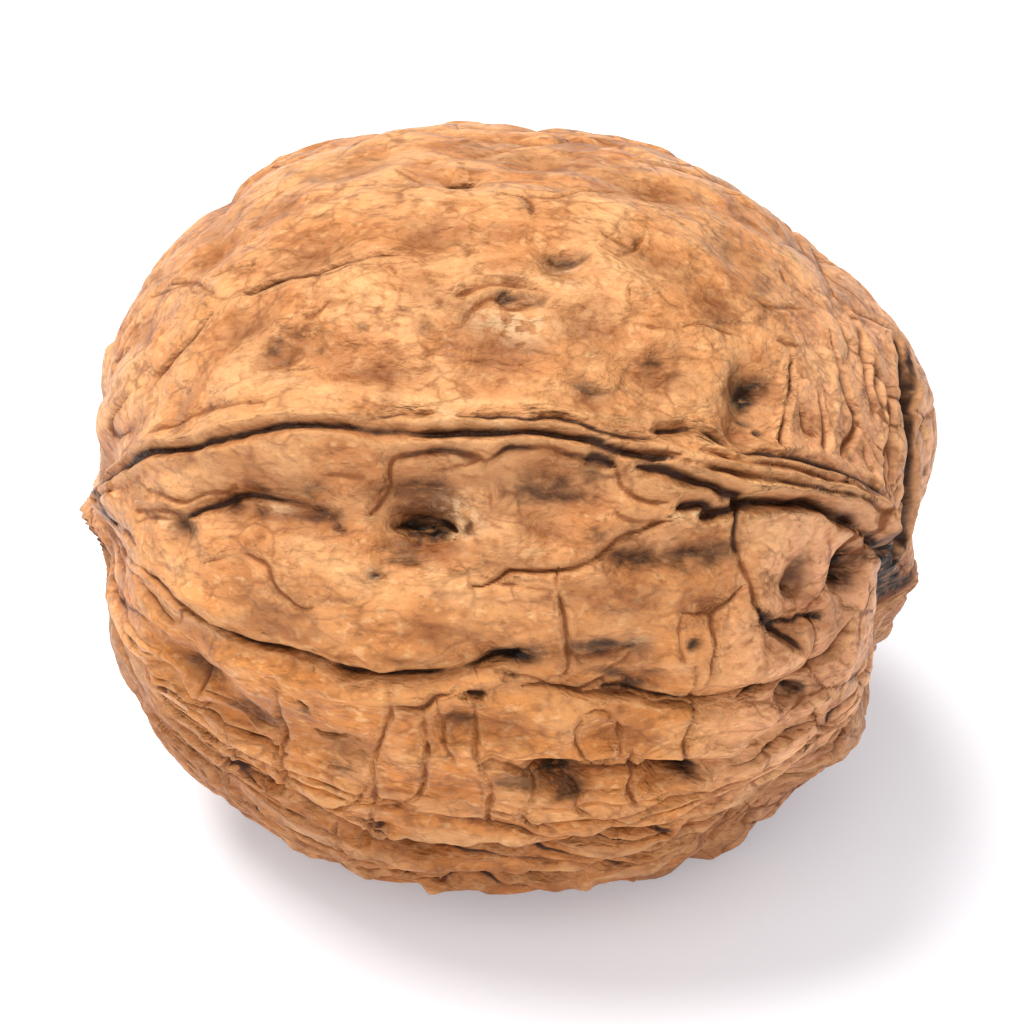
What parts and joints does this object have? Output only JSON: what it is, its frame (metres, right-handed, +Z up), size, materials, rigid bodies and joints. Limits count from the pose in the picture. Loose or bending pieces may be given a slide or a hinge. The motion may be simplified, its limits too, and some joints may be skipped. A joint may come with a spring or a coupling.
{
  "type": "walnut",
  "caption": "Whole walnut in its tan wrinkled shell, with a raised seam, furrows, pits and a dark stem end, lying on its side.",
  "frame": {"origin": "on the surface that the nut rests on, under the middle of its outline seen from above", "axes": "+X along the nut from its pointed tip to its stem end, +Z up from the surface it rests on"},
  "size_m": [0.04, 0.0366, 0.0369],
  "materials": {
    "shell": "dry dull nutshell, tan with brown veins and sooty pits"
  },
  "bodies": {
    "root": {"walnut": "shell"}
  },
  "joints": []
}
